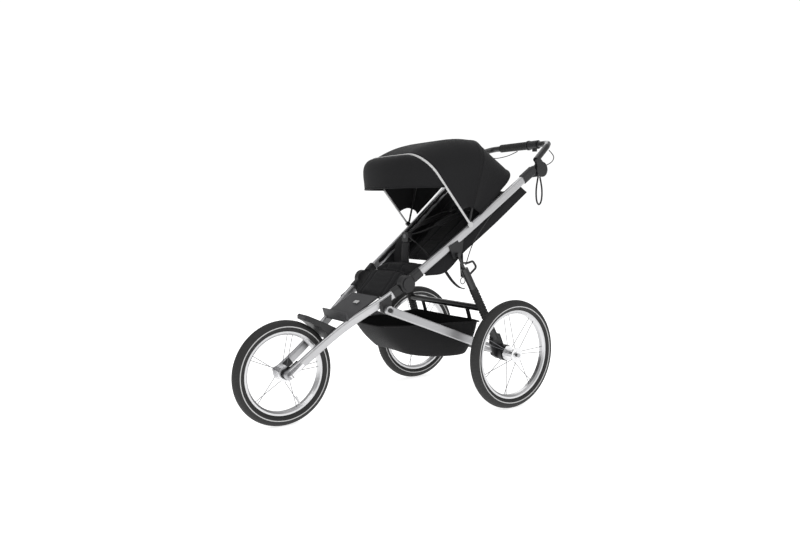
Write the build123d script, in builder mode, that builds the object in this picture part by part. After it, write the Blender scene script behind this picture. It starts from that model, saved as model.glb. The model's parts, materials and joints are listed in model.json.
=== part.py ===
from build123d import *
import math
import os

# Baby stroller with three spoked wheels. Millimetres. X = child's left, -Y = forward, Z = up.
# The floor is z = 0. Lengths along Y are drawn from the rear axle and moved by centre_shift when written.

# ---- wheels
rear_radius = 222.0
front_radius = 199.4
track = 658.0
wheelbase = 863.4
tyre_section = 22.5
tyre_wall = 3.2
tyre_depth = 41.0          # tyre height above the rim's outer edge
rim_depth = 14.0
rim_width = 29.0
rim_floor_width = 16.0
rim_floor = 3.0
spoke_diameter = 2.4
front_spoke_pairs = 5
rear_spoke_pairs = 7
spoke_spread = 7.0         # degrees between the two spokes of a pair
flange_radius = 30.0
flange_thickness = 3.5
flange_spacing = 48.0
barrel_radius = 13.0
hub_overhang = 3.0
spoke_seat = 26.0
axle_diameter = 12.0
running_fit = 0.05

# ---- the written parts stand with the origin on the floor under the middle of the whole object
centre_shift = 341.9

# ---- frame tubes
tube_height = 34.0
tube_width = 20.0
tube_corner = 8.0
front_route = ((48.0, -863.4, 199.4), (52.0, -770.0, 266.0), (84.0, -622.0, 376.0), (128.0, -513.0, 448.0),
               (150.0, -438.0, 500.0))
upper_route = ((160.0, -382.0, 541.0), (202.0, -80.0, 764.0), (240.0, 160.0, 953.0))
pivot_a = (155.0, -410.0, 520.0)      # fold hub centre
pivot_b = (165.0, -497.0, 424.0)      # front end of the rear arm
strut_top = (205.0, -188.0, 627.0)
arm_rear = (262.0, -4.0, 223.0)
strut_foot = (265.0, -34.0, 280.0)
moving_gap = 0.4
pin_diameter = 10.0

# ---- fold hubs
hub_disc_radius = 34.0
hub_inner_thickness = 13.0
hub_outer_thickness = 15.0
hub_collar = 3.5
hub_collar_length = 30.0

# ---- rear frame
arm_height = 34.0
arm_width = 17.0
arm_corner = 5.0
axle_tube_radius = 14.0
cross_tube_radius = 13.5
cross_tube_at = (-91.0, 408.0)
cross_tube_half = 243.0
strut_radius = 15.5
strut_neck_radius = 5.5
drum_radius = 33.0
drum_thickness = 26.0
drum_inner_x = 271.0
carrier_inner_x = 250.0
carrier_height = 62.0
carrier_length = 56.0

# ---- handlebar
tilt_pivot = (247.0, 233.0, 981.0)
grip_half = 118.0
grip_radius = 18.5
bar_radius = 13.5
bar_y = 357.0
bar_z = 1105.0
twist_length = 62.0
sleeve_wall = 4.0
button_height = 4.5

# ---- canopy
canopy_pivot = (-132.0, 748.0)
canopy_half = 217.0
canopy_radius = 362.0
canopy_corner = 105.0
cloth_thickness = 3.0
hoop_wire = 4.5
front_hoop_angle = 131.0
mid_hoop_angle = 76.0
rear_edge_angle = 40.5
visor_angle = 149.0
visor_floor = 893.0
cloth_gap = 0.1            # degrees between a cloth panel and the next
foot_room = 15.0           # cloth cut away round the pivots
eye_radius = 11.0
eye_thickness = 5.4
front_eye_inner = 212.9
mid_eye_inner = 207.2

# ---- seat
seat_half = 138.0
back_top_half = 160.0
back_thickness = 26.0
recline_pivot = (-222.0, 585.0)
back_angle = 38.5
back_length = 500.0
panel_thickness = 3.0
calf_half = 122.0

os.makedirs("parts", exist_ok=True)


def write(piece, name):
    """Label a finished piece and write its file."""
    piece.part.position += (0, centre_shift, 0)
    piece.part.label = name
    export_step(piece.part, f"parts/{name}.step")
    piece.part.position -= (0, centre_shift, 0)


def rod(start, end, radius):
    """Round bar between two points."""
    along = Vector(*end) - Vector(*start)
    with BuildPart() as made:
        with BuildSketch(Plane(origin=start, z_dir=along)):
            Circle(radius)
        extrude(amount=along.length)
    return made.part


def disc(centre, radius, thickness):
    """Cylinder along X that starts at centre and grows toward +X."""
    with BuildPart() as made:
        with BuildSketch(Plane(origin=centre, x_dir=(0, 1, 0), z_dir=(1, 0, 0))):
            Circle(radius)
        extrude(amount=thickness)
    return made.part


def flat_bar(route, height, width, corner):
    """Rounded rectangular tube swept along a smooth route of points."""
    with BuildPart() as made:
        with BuildLine() as path:
            if len(route) > 2:
                Spline(*route)
            else:
                Line(*route)
        start = path.line @ 0
        along = path.line % 0
        side = Vector(1, 0, 0) - along * along.X
        with BuildSketch(Plane(origin=start, x_dir=side, z_dir=along)):
            RectangleRounded(width, height, corner)
        sweep()
    return made.part


def round_tube(route, radius, bends):
    """Round tube along straight runs joined by tangent arcs."""
    with BuildPart() as made:
        with BuildLine() as path:
            FilletPolyline(*route, radius=bends)
        with BuildSketch(Plane(origin=path.line @ 0, z_dir=path.line % 0)):
            Circle(radius)
        sweep()
    return made.part


def side_slab(outline, x_from, x_to):
    """Closed outline in the y-z plane, extruded from one x to another."""
    with BuildPart() as made:
        with BuildSketch(Plane(origin=(x_from, 0, 0), x_dir=(0, 1, 0), z_dir=(1, 0, 0))):
            with BuildLine():
                Polyline(*outline, close=True)
            make_face()
        extrude(amount=x_to - x_from)
    return made.part


def mirrored(part):
    """The twin of a left piece on the right-hand side."""
    with BuildPart() as twin:
        mirror(part, about=Plane.YZ)
    return twin.part


def largest_solid(part):
    """The biggest solid of a piece that a cut has split."""
    with BuildPart() as kept:
        add(part.solids().sort_by(SortBy.VOLUME)[-1])
    return kept


def both_sides(part, name):
    """Write a left piece and its mirrored right twin, each in its own file."""
    with BuildPart() as left:
        add(part)
    write(left, f"{name}_left")
    with BuildPart() as right:
        add(mirrored(part))
    write(right, f"{name}_right")


def pair(part, name):
    """Write a left piece and its mirrored right twin as two solids of one file."""
    with BuildPart() as two:
        add(part)
        mirror(part, about=Plane.YZ)
    write(two, name)


# ---- wheels
def wheel(name, centre, radius, pairs, first_angle, bore):
    """One wheel: tyre, rim, spokes, hub and valve round an axis along X."""
    rim_outer = radius - tyre_depth
    rim_inner = rim_outer - rim_depth
    axis = Axis(centre, (1, 0, 0))
    section = Plane(origin=centre, x_dir=(1, 0, 0), z_dir=(0, -1, 0))
    half = rim_width / 2
    floor_half = rim_floor_width / 2
    with BuildPart() as rim:
        with BuildSketch(section):
            with BuildLine():
                Polyline((-half, rim_outer), (-half, rim_outer - rim_depth / 2), (-floor_half, rim_inner),
                         (floor_half, rim_inner), (half, rim_outer - rim_depth / 2), (half, rim_outer),
                         close=True)
            make_face()
            with Locations((0, rim_outer)):
                Rectangle(rim_floor_width, 2 * (rim_depth - rim_floor), mode=Mode.SUBTRACT)
        revolve(axis=axis)
    write(rim, f"{name}_rim")
    with BuildPart() as tyre:
        with BuildSketch(section):
            with Locations((0, radius - tyre_section)):
                Circle(tyre_section)
                Circle(tyre_section - tyre_wall, mode=Mode.SUBTRACT)
            with Locations((0, rim_outer - tyre_section)):
                Rectangle(2 * tyre_section, 2 * tyre_section, mode=Mode.SUBTRACT)
        revolve(axis=axis)
    write(tyre, f"{name}_tyre")
    barrel_half = flange_spacing / 2 + flange_thickness / 2 + hub_overhang
    with BuildPart() as hub:
        with BuildSketch(section):
            with Locations((0, (barrel_radius + bore) / 2)):
                Rectangle(2 * barrel_half, barrel_radius - bore)
            with Locations((-flange_spacing / 2, (flange_radius + bore) / 2),
                           (flange_spacing / 2, (flange_radius + bore) / 2)):
                Rectangle(flange_thickness, flange_radius - bore)
        revolve(axis=axis)
    write(hub, f"{name}_hub")
    with BuildPart() as spokes:
        for pair in range(pairs):
            for side in (-1, 1):
                hub_angle = math.radians(first_angle + 360 * pair / pairs + side * spoke_spread)
                rim_angle = math.radians(first_angle + 360 * pair / pairs - side * spoke_spread / 2)
                flange_x = centre[0] + side * flange_spacing / 2
                foot = (flange_x, centre[1] + spoke_seat * math.cos(hub_angle),
                        centre[2] + spoke_seat * math.sin(hub_angle))
                tip = (centre[0] + side * floor_half / 2, centre[1] + (rim_inner + 1) * math.cos(rim_angle),
                       centre[2] + (rim_inner + 1) * math.sin(rim_angle))
                add(rod(foot, tip, spoke_diameter / 2))
        add(rim.part, mode=Mode.SUBTRACT)
        add(hub.part, mode=Mode.SUBTRACT)
    write(spokes, f"{name}_spokes")


bore_radius = axle_diameter / 2 + running_fit
wheel("front_wheel", (0, -wheelbase, front_radius), front_radius, front_spoke_pairs, 6.0, bore_radius)
wheel("rear_wheel_left", (track / 2, 0, rear_radius), rear_radius, rear_spoke_pairs, 0.0, bore_radius)
wheel("rear_wheel_right", (-track / 2, 0, rear_radius), rear_radius, rear_spoke_pairs, 0.0, bore_radius)

# ---- front frame
dropout_inner = 32.0
dropout_thickness = 5.0
skewer_radius = 4.5
lever_x = 74.0
lever_barrel = 5.5
with BuildPart() as front_tube:
    add(flat_bar(front_route, tube_height, tube_width, tube_corner))
    add(disc((front_route[0][0] - tube_width / 2, -wheelbase, front_radius), tube_height / 2, tube_width))
    add(disc((0, -wheelbase, front_radius), skewer_radius, 100), mode=Mode.SUBTRACT)
both_sides(front_tube.part, "front_tube")
front_tube_right = mirrored(front_tube.part)

with BuildPart() as dropout:
    add(disc((dropout_inner, -wheelbase, front_radius), 19.0, dropout_thickness))
    with BuildSketch(Plane(origin=(dropout_inner, -wheelbase + 26, front_radius + 19), x_dir=(0, 1, 0),
                           z_dir=(1, 0, 0))):
        with Locations(Rotation(0, 0, 36)):
            Rectangle(58, 30)
    extrude(amount=dropout_thickness)
    add(disc((dropout_inner - 1, -wheelbase, front_radius), axle_diameter / 2, 10), mode=Mode.SUBTRACT)
    add(front_tube.part, mode=Mode.SUBTRACT)
pair(dropout.part, "dropouts")

with BuildPart() as front_axle:
    add(disc((-dropout_inner - dropout_thickness, -wheelbase, front_radius), axle_diameter / 2,
             2 * (dropout_inner + dropout_thickness)))
    add(disc((-72, -wheelbase, front_radius), skewer_radius, 130))
    add(disc((-72, -wheelbase, front_radius), 11, 72 - front_route[0][0] - tube_width / 2))
    add(disc((front_route[0][0] + tube_width / 2, -wheelbase, front_radius), 9, lever_x - lever_barrel - 0.3
             - front_route[0][0] - tube_width / 2))
    add(front_tube.part, mode=Mode.SUBTRACT)
    add(front_tube_right, mode=Mode.SUBTRACT)
write(front_axle, "front_axle")

lever_angle = 40.0
lever_length = 62.0
lever_plane = Plane(origin=(lever_x, -wheelbase, front_radius),
                    x_dir=(0, math.cos(math.radians(lever_angle)), math.sin(math.radians(lever_angle))),
                    z_dir=(1, 0, 0))
with BuildPart() as quick_release_lever:
    with BuildSketch(lever_plane.offset(-3.0)):
        with Locations((lever_length / 2 + 1, 0)):
            RectangleRounded(lever_length, 13, 6)
    extrude(amount=6.0)
    with BuildSketch(Plane(origin=lever_plane.origin - lever_plane.y_dir * 9, z_dir=lever_plane.y_dir)):
        Circle(lever_barrel)
    extrude(amount=18)
write(quick_release_lever, "quick_release_lever")

with BuildPart() as fork_crown:
    with BuildSketch(Plane(origin=(-64, 0, 0), x_dir=(0, 1, 0), z_dir=(1, 0, 0))):
        with BuildLine():
            Polyline((-786, 408), (-776, 412), (-668, 358), (-664, 324), (-690, 312), (-786, 380), close=True)
        make_face()
        with Locations((-wheelbase, front_radius)):
            Circle(front_radius + 10, mode=Mode.SUBTRACT)
    extrude(amount=128)
    with BuildSketch(Plane.XY):
        with BuildLine():
            Polyline((-28, -790), (28, -790), (64, -735), (64, -850), (-64, -850), (-64, -735), close=True)
        make_face()
    extrude(amount=600, mode=Mode.SUBTRACT)
    add(front_tube.part, mode=Mode.SUBTRACT)
    add(front_tube_right, mode=Mode.SUBTRACT)
write(fork_crown, "fork_crown")

with BuildPart() as footrest:
    add(side_slab(((-483.0, 463.9), (-500, 470), (-600, 413), (-630, 391), (-641, 418), (-645, 416), (-634, 378), (-600, 405),
                   (-500, 462), (-479.5, 459.9)), -91, 91))
    add(front_tube.part, mode=Mode.SUBTRACT)
    add(front_tube_right, mode=Mode.SUBTRACT)
write(footrest, "footrest")

hub_axis_x = pivot_a[0]
with BuildPart() as hub_lower:
    add(disc((hub_axis_x - hub_inner_thickness, pivot_a[1], pivot_a[2]), hub_disc_radius, hub_inner_thickness))
    add(flat_bar((front_route[4], (142.0, -464.0, 482.0)), tube_height + 2 * hub_collar,
                 tube_width + 2 * hub_collar, tube_corner + hub_collar))
    add(front_tube.part, mode=Mode.SUBTRACT)
    add(disc((hub_axis_x, pivot_a[1], pivot_a[2]), hub_disc_radius + 1.5, 40), mode=Mode.SUBTRACT)
    add(disc((hub_axis_x - 20, pivot_a[1], pivot_a[2]), pin_diameter / 2, 30), mode=Mode.SUBTRACT)
pair(hub_lower.part, "fold_hub_lower")

with BuildPart() as upper_tube:
    add(flat_bar(upper_route, tube_height, tube_width, tube_corner))
both_sides(upper_tube.part, "upper_tube")

with BuildPart() as hub_upper:
    add(disc((hub_axis_x + moving_gap, pivot_a[1], pivot_a[2]), hub_disc_radius, hub_outer_thickness))
    add(disc((hub_axis_x + moving_gap, pivot_a[1], pivot_a[2]), hub_disc_radius - 10, hub_outer_thickness + 4))
    add(flat_bar((upper_route[0], (168.0, -350.0, 566.0)), tube_height + 2 * hub_collar,
                 tube_width + 2 * hub_collar, tube_corner + hub_collar))
    add(upper_tube.part, mode=Mode.SUBTRACT)
    add(disc((hub_axis_x - 40, pivot_a[1], pivot_a[2]), hub_disc_radius + 1.5, 40 + moving_gap),
        mode=Mode.SUBTRACT)
    add(disc((hub_axis_x - 13, pivot_a[1], pivot_a[2]), pin_diameter / 2 - running_fit, 14))
pair(hub_upper.part, "fold_hub_upper")

bracket_inner = 138.0
bracket_outer = pivot_b[0] - arm_width / 2 - moving_gap
with BuildPart() as arm_bracket:
    add(side_slab(((-522, 452), (-478, 482), (-478, 418), (-488, 408), (-508, 408), (-520, 420)),
                  bracket_inner, bracket_outer))
    add(front_tube.part, mode=Mode.SUBTRACT)
    add(disc((bracket_inner, pivot_b[1], pivot_b[2]), pin_diameter / 2, 40))
    add(disc((pivot_b[0] + arm_width / 2 + moving_gap, pivot_b[1], pivot_b[2]), 9, 4))
pair(arm_bracket.part, "arm_brackets")

# ---- rear frame
with BuildPart() as rear_arm:
    add(flat_bar((pivot_b, arm_rear), arm_height, arm_width, arm_corner))
    add(disc((pivot_b[0] - arm_width / 2, pivot_b[1], pivot_b[2]), arm_height / 2, arm_width))
    add(side_slab(((-560, 380), (-400, 380), (-400, 470), (-560, 470)), 120, pivot_b[0] - arm_width / 2),
        mode=Mode.SUBTRACT)
    add(disc((pivot_b[0] - arm_width, pivot_b[1], pivot_b[2]), pin_diameter / 2 + running_fit, 2 * arm_width),
        mode=Mode.SUBTRACT)
    add(disc((pivot_b[0] + arm_width / 2, pivot_b[1], pivot_b[2]), 14, 20), mode=Mode.SUBTRACT)

with BuildPart() as axle_tube:
    add(disc((-carrier_inner_x, 0, rear_radius), axle_tube_radius, 2 * carrier_inner_x))

strut_line = Vector(*strut_foot) - Vector(*strut_top)
shroud_top = Vector(*strut_top) + strut_line * 0.16
neck_end = shroud_top + strut_line * 0.02
with BuildPart() as strut:
    add(rod(strut_top, tuple(neck_end), strut_neck_radius))
    add(disc((strut_top[0] - 6, strut_top[1], strut_top[2]), pin_diameter / 2 + 4, 14))
    add(disc((strut_top[0] - 14, strut_top[1], strut_top[2]), pin_diameter / 2, 20))
    add(rod(tuple(shroud_top), strut_foot, strut_radius))
    add(rod((210.5, -174, 595), (210, -149, 594), 4.0))

with BuildPart() as cross_tube:
    add(disc((-cross_tube_half, *cross_tube_at), cross_tube_radius, 2 * cross_tube_half))
    add(strut.part, mode=Mode.SUBTRACT)
    add(mirrored(strut.part), mode=Mode.SUBTRACT)
write(cross_tube, "cross_tube")
both_sides(strut.part, "strut")

with BuildPart() as carrier:
    add(side_slab(((-46, 212), (-20, 196), (16, 196), (24, 222), (10, 248), (-14, 300), (-52, 300), (-56, 262)),
                  carrier_inner_x, drum_inner_x))
    add(strut.part, mode=Mode.SUBTRACT)
with BuildPart() as arm_trimmed:
    add(rear_arm.part)
    add(carrier.part, mode=Mode.SUBTRACT)
    add(axle_tube.part, mode=Mode.SUBTRACT)
    add(strut.part, mode=Mode.SUBTRACT)
arm_whole = largest_solid(arm_trimmed.part)
both_sides(arm_whole.part, "rear_arm")

button_hole = 3.0
axle_reach = 30.0
button_gap = 3.0
with BuildPart() as stub_axle:
    add(disc((drum_inner_x, 0, rear_radius), axle_diameter / 2, track / 2 + axle_reach - drum_inner_x))
    add(disc((drum_inner_x, 0, rear_radius), button_hole + running_fit, 200), mode=Mode.SUBTRACT)
with BuildPart() as rear_axle:
    add(axle_tube.part)
    add(stub_axle.part)
    mirror(stub_axle.part, about=Plane.YZ)
write(rear_axle, "rear_axle")
with BuildPart() as drum:
    add(disc((drum_inner_x, 0, rear_radius), drum_radius, drum_thickness))
    add(disc((drum_inner_x, 0, rear_radius), axle_diameter / 2, 100), mode=Mode.SUBTRACT)
    add(disc((drum_inner_x + 6, 0, rear_radius), drum_radius - 4, 100), mode=Mode.SUBTRACT)
    add(disc((drum_inner_x, 0, rear_radius), barrel_radius + 3, 8))
    add(disc((drum_inner_x, 0, rear_radius), axle_diameter / 2, 100), mode=Mode.SUBTRACT)
with BuildPart() as axle_mount:
    add(carrier.part)
    add(drum.part)
pair(axle_mount.part, "axle_carriers")
with BuildPart() as release:
    add(disc((track / 2 - 20, 0, rear_radius), button_hole, 20 + axle_reach + button_gap + 1))
    add(disc((track / 2 + axle_reach + button_gap, 0, rear_radius), axle_diameter / 2 + 2, button_height))
both_sides(release.part, "wheel_release")

pedal_half = 36.0
with BuildPart() as brake_pedal:
    add(disc((-pedal_half / 2, 0, rear_radius), axle_tube_radius + 5, pedal_half))
    with BuildSketch(Plane(origin=(0, 0, rear_radius + 20), x_dir=(1, 0, 0), z_dir=(0, 0, 1))):
        with Locations((0, 32)):
            RectangleRounded(2 * pedal_half, 54, 10)
    extrude(amount=-8)
    with BuildSketch(Plane(origin=(0, 8, rear_radius + 10), x_dir=(1, 0, 0), z_dir=(0, 0, 1))):
        Rectangle(24, 30)
    extrude(amount=6)
    add(disc((-pedal_half, 0, rear_radius), axle_tube_radius + running_fit, 2 * pedal_half),
        mode=Mode.SUBTRACT)
write(brake_pedal, "brake_pedal")

with BuildPart() as catch_loop:
    with BuildLine() as loop_path:
        FilletPolyline((206, -150, 590), (209, -112, 600), (209, -92, 574), (218, -140, 544), radius=10)
    with BuildSketch(Plane(origin=loop_path.line @ 0, z_dir=loop_path.line % 0)):
        Circle(4.5)
    sweep()
    add(strut.part, mode=Mode.SUBTRACT)
write(largest_solid(catch_loop.part), "transport_catch")

# ---- catch plates that take the strut pins
slot_axis = (0.488, -0.873)
plate_x = 191.0
plate_thickness = 6.0
with BuildPart() as catch_plate:
    add(side_slab(((-226, 662), (-150, 706), (-158, 640), (-172, 612), (-204, 612), (-216, 640)),
                  plate_x, plate_x + plate_thickness))
    with BuildSketch(Plane(origin=(plate_x - 1, strut_top[1], strut_top[2]), x_dir=(0, *slot_axis),
                           z_dir=(1, 0, 0))):
        Circle(pin_diameter / 2 + moving_gap)
        with BuildLine():
            Polyline((0, -5.4), (0, 5.4), (40, 9), (40, -9), close=True)
        make_face()
    extrude(amount=10, mode=Mode.SUBTRACT)
    add(upper_tube.part, mode=Mode.SUBTRACT)
pair(catch_plate.part, "catch_plates")

# ---- handlebar
bend_in = (247.0, 206.0, 1019.0)
handle_route = (bend_in, (226.0, 292.0, 1082.0), (176.0, bar_y, bar_z), (-176.0, bar_y, bar_z),
                (-226.0, 292.0, 1082.0), (-247.0, 206.0, 1019.0))
with BuildPart() as handlebar:
    add(round_tube(handle_route, bar_radius, 48))
    for side in (-1, 1):
        outer = tilt_pivot[0] + moving_gap if side > 0 else -tilt_pivot[0] - moving_gap - 12
        add(disc((outer, tilt_pivot[1], tilt_pivot[2]), 32, 12))
        add(side_slab(((206, 975), (196, 1012), (206, 1030), (226, 1022), (262, 990)), outer, outer + 12))
write(handlebar, "handlebar")

with BuildPart() as handle_socket:
    add(flat_bar((upper_route[2], (246.0, 196.0, 981.0)), tube_height, tube_width, tube_corner))
    add(flat_bar(((236.0, 138.0, 935.5), (244.0, 186.0, 973.5)), tube_height + 2 * sleeve_wall,
                 tube_width + 2 * sleeve_wall, tube_corner + sleeve_wall))
    add(disc((tilt_pivot[0] - 14, tilt_pivot[1], tilt_pivot[2]), 30, 14))
    add(side_slab(((180, 985), (232, 1010), (232, 952), (180, 945)), tilt_pivot[0] - 14, tilt_pivot[0]))
    add(upper_tube.part, mode=Mode.SUBTRACT)
    add(disc((tilt_pivot[0], tilt_pivot[1], tilt_pivot[2]), 34.5, 20), mode=Mode.SUBTRACT)
    add(disc((tilt_pivot[0] - 20, bend_in[1] + 12, bend_in[2] + 6), 24, 60), mode=Mode.SUBTRACT)
pair(handle_socket.part, "handle_sockets")

with BuildPart() as grip:
    add(disc((-grip_half, bar_y, bar_z), grip_radius, 2 * grip_half - twist_length - 1))
    add(disc((-grip_half - 1, bar_y, bar_z), bar_radius, 2 * grip_half + 2), mode=Mode.SUBTRACT)
write(grip, "grip")
with BuildPart() as twist_brake:
    add(disc((grip_half - twist_length, bar_y, bar_z), grip_radius + 1, twist_length))
    add(disc((grip_half - twist_length, bar_y, bar_z), grip_radius + 3.5, 7))
    with BuildSketch(Plane(origin=(grip_half - 22, bar_y, bar_z), x_dir=(1, 0, 0), z_dir=(0, 0, -1))):
        RectangleRounded(20, 16, 4)
    extrude(amount=30)
    add(disc((-grip_half, bar_y, bar_z), bar_radius + running_fit, 2 * grip_half + 20), mode=Mode.SUBTRACT)
write(twist_brake, "twist_brake")

# ---- canopy
pivot_line = Axis((0, *canopy_pivot), (1, 0, 0))


def canopy_plane(angle):
    """Plane through the canopy's pivot line, local y pointing out along the given angle."""
    out = (0, math.cos(math.radians(angle)), math.sin(math.radians(angle)))
    return Plane(origin=(0, *canopy_pivot), x_dir=(1, 0, 0), z_dir=Vector(1, 0, 0).cross(Vector(*out)))


def canopy_shell(start_angle, end_angle, floor):
    """Curved sheet swept about the pivot line between two angles."""
    with BuildPart() as made:
        with BuildSketch(canopy_plane(start_angle)):
            for inset, mode in ((0, Mode.ADD), (cloth_thickness, Mode.SUBTRACT)):
                half = canopy_half - inset
                top = canopy_radius - inset
                corner = canopy_corner - inset
                with BuildLine():
                    base = Polyline((-half, top - corner), (-half, 30), (half, 30), (half, top - corner))
                    near = RadiusArc(base @ 1, (half - corner, top), -corner)
                    span = Line(near @ 1, (corner - half, top))
                    RadiusArc(span @ 1, base @ 0, -corner)
                make_face(mode=mode)
            with Locations((0, 30)):
                Rectangle(2 * canopy_half + 2, 4, mode=Mode.SUBTRACT)
        revolve(axis=pivot_line, revolution_arc=end_angle - start_angle)
        if floor:
            with BuildSketch(Plane.XY):
                Rectangle(2000, 2000)
            extrude(amount=floor, mode=Mode.SUBTRACT)
    return made


def canopy_hoop(angle, half, top, corner, wire):
    """Round hoop in a plane through the pivot line."""
    plane = canopy_plane(angle)
    with BuildPart() as made:
        with BuildLine(plane) as path:
            FilletPolyline((-half, eye_radius / 2), (-half, top), (half, top), (half, eye_radius / 2),
                           radius=corner)
        with BuildSketch(Plane(origin=path.line @ 0, z_dir=path.line % 0)):
            Circle(wire)
        sweep()
    return made


def eyed_hoop(hoop, inner_x, radius):
    """The hoop with a flat eye round the pivot line at each foot."""
    with BuildPart() as made:
        add(hoop.part)
        add(disc((-canopy_half - hoop_wire, *canopy_pivot), radius, 2 * (canopy_half + hoop_wire)),
            mode=Mode.SUBTRACT)
        for start_x in (inner_x, -inner_x - eye_thickness):
            add(disc((start_x, *canopy_pivot), radius, eye_thickness))
    return made


mid_hoop_inset = cloth_thickness + hoop_wire + 3.9
front_hoop_half = canopy_half - 1.5
front_hoop = eyed_hoop(canopy_hoop(front_hoop_angle, front_hoop_half, canopy_radius + 1, canopy_corner,
                                   hoop_wire), front_eye_inner, eye_radius)
write(front_hoop, "canopy_front_hoop")
mid_hoop = eyed_hoop(canopy_hoop(mid_hoop_angle, canopy_half - mid_hoop_inset, canopy_radius - mid_hoop_inset,
                                 canopy_corner - mid_hoop_inset, hoop_wire), mid_eye_inner, eye_radius - moving_gap)
write(mid_hoop, "canopy_mid_hoop")
hoop_room = canopy_hoop(front_hoop_angle, front_hoop_half, canopy_radius + 1, canopy_corner,
                        hoop_wire + moving_gap)
for name, first, last in (("canopy_rear_panel", rear_edge_angle, mid_hoop_angle - cloth_gap),
                          ("canopy_front_panel", mid_hoop_angle + cloth_gap, front_hoop_angle - cloth_gap)):
    with BuildPart() as panel:
        add(canopy_shell(first, last, 0).part)
        add(hoop_room.part, mode=Mode.SUBTRACT)
        for foot_x in (canopy_half - foot_room, -canopy_half - 4):
            add(disc((foot_x, *canopy_pivot), 70, foot_room + 4), mode=Mode.SUBTRACT)
    write(panel, name)
with BuildPart() as visor:
    add(canopy_shell(front_hoop_angle + cloth_gap, visor_angle, visor_floor).part)
    add(front_hoop.part, mode=Mode.SUBTRACT)
write(visor, "visor")

# ---- seat
panel_front_x = 153.0
panel_splay = 0.1460
panel_run = 0.9893
sling_outline = ((-325, 562), (150, 924), (168, 884), (17, 763), (-146, 637), (-224, 557), (-325, 546))
with BuildPart() as side_panel:
    panel_plane = Plane(origin=(panel_front_x, upper_route[0][1], 0), x_dir=(panel_splay, panel_run, 0),
                        z_dir=(panel_run, -panel_splay, 0))
    with BuildSketch(panel_plane):
        with BuildLine():
            Polyline(*(((y - upper_route[0][1]) / panel_run, z) for y, z in sling_outline), close=True)
        make_face()
    extrude(amount=panel_thickness)
    add(upper_tube.part, mode=Mode.SUBTRACT)
    add(hub_upper.part, mode=Mode.SUBTRACT)
    add(handle_socket.part, mode=Mode.SUBTRACT)
pair(side_panel.part, "seat_sides")
with BuildPart() as seat_pan:
    add(side_slab(((-399, 546), (-364, 583), (-238, 578), (-238, 552), (-350, 552), (-385, 532)),
                  -seat_half, seat_half))
    add(side_slab(((-300, 560), (-260, 560), (-260, 566), (-300, 566)), -175, 175))
    add(side_panel.part, mode=Mode.SUBTRACT)
    add(mirrored(side_panel.part), mode=Mode.SUBTRACT)
pan_whole = largest_solid(seat_pan.part)
write(pan_whole, "seat_pan")

back_plane = Plane(origin=(0, *recline_pivot), x_dir=(1, 0, 0),
                   z_dir=(0, -math.sin(math.radians(back_angle)), math.cos(math.radians(back_angle))))
hinge_half = 175.6
with BuildPart() as seat_back:
    with BuildSketch(back_plane.offset(-10)):
        with BuildLine():
            Polyline((-seat_half, 0), (-back_top_half, back_length), (back_top_half, back_length),
                     (seat_half, 0), close=True)
        make_face()
    extrude(amount=back_thickness)
    add(disc((-hinge_half, *recline_pivot), 4.0, 2 * hinge_half))
write(seat_back, "seat_back")

with BuildPart() as calf_pad:
    add(side_slab(((-434.5, 508), (-423.7, 496.5), (-472, 452), (-482.5, 463.5)), -calf_half, calf_half))
write(calf_pad, "calf_pad")
with BuildPart() as seat_seam:
    add(side_slab(((-427, 501.5), (-394.5, 536.6), (-396.7, 538.6), (-429.2, 503.5)), -calf_half + 4,
                  calf_half - 4))
write(seat_seam, "seat_seam")

# ---- harness
shoulder_x = 60.0
with BuildPart() as shoulder:
    add(flat_bar(((shoulder_x, -20, 799), (shoulder_x - 6, -180, 744)), 12, 44, 5))
    add(flat_bar(((shoulder_x, -22, 797), (shoulder_x + 6, 30, 806)), 5, 34, 2))
    add(flat_bar(((shoulder_x - 6, -176, 745), (26, -272, 708)), 5, 28, 2))
    add(seat_back.part, mode=Mode.SUBTRACT)
pair(shoulder.part, "shoulder_harness")
with BuildPart() as waist:
    add(flat_bar(((26, -284, 690), (92, -262, 640), (125, -252, 577)), 8, 36, 3))
    add(pan_whole.part, mode=Mode.SUBTRACT)
buckle_half = 21.0
buckle_low = 676.0
buckle_high = 716.0
with BuildPart() as crotch:
    add(side_slab(((-305, 576), (-301, buckle_low), (-285, buckle_low), (-289, 576)), -22, 22))
    add(pan_whole.part, mode=Mode.SUBTRACT)
button_travel = 3.0
with BuildPart() as buckle:
    with BuildSketch(Plane(origin=(0, -303, (buckle_low + buckle_high) / 2), x_dir=(1, 0, 0), z_dir=(0, 1, 0))):
        RectangleRounded(2 * buckle_half, buckle_high - buckle_low, 8)
    extrude(amount=20)
    with BuildSketch(Plane(origin=(0, -304, 700), x_dir=(1, 0, 0), z_dir=(0, 1, 0))):
        Circle(9.0 + running_fit)
    extrude(amount=9, mode=Mode.SUBTRACT)
write(buckle, "buckle")
with BuildPart() as buckle_button:
    with BuildSketch(Plane(origin=(0, -305, 700), x_dir=(1, 0, 0), z_dir=(0, 1, 0))):
        Circle(9.0)
    extrude(amount=10 - button_travel)
write(buckle_button, "buckle_button")
with BuildPart() as lap:
    add(crotch.part)
    add(waist.part)
    mirror(waist.part, about=Plane.YZ)
    add(buckle.part, mode=Mode.SUBTRACT)
write(lap, "lap_harness")

# ---- basket
basket_floor = 210.0
basket_rim = 350.0
basket_wall = 3.0


def basket_solid(inset, low, high):
    """Tapered tub between two levels, drawn in by an inset."""
    with BuildPart() as made:
        for level, front_y, rear_y, front_half, rear_half in ((low, -385, -115, 130, 165),
                                                              (high, -430, -72, 150, 222)):
            with BuildSketch(Plane.XY.offset(level)):
                with BuildLine():
                    Polyline((-front_half + inset, front_y + inset), (front_half - inset, front_y + inset),
                             (rear_half - inset, rear_y - inset), (inset - rear_half, rear_y - inset), close=True)
                make_face()
        loft()
    return made.part


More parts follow.
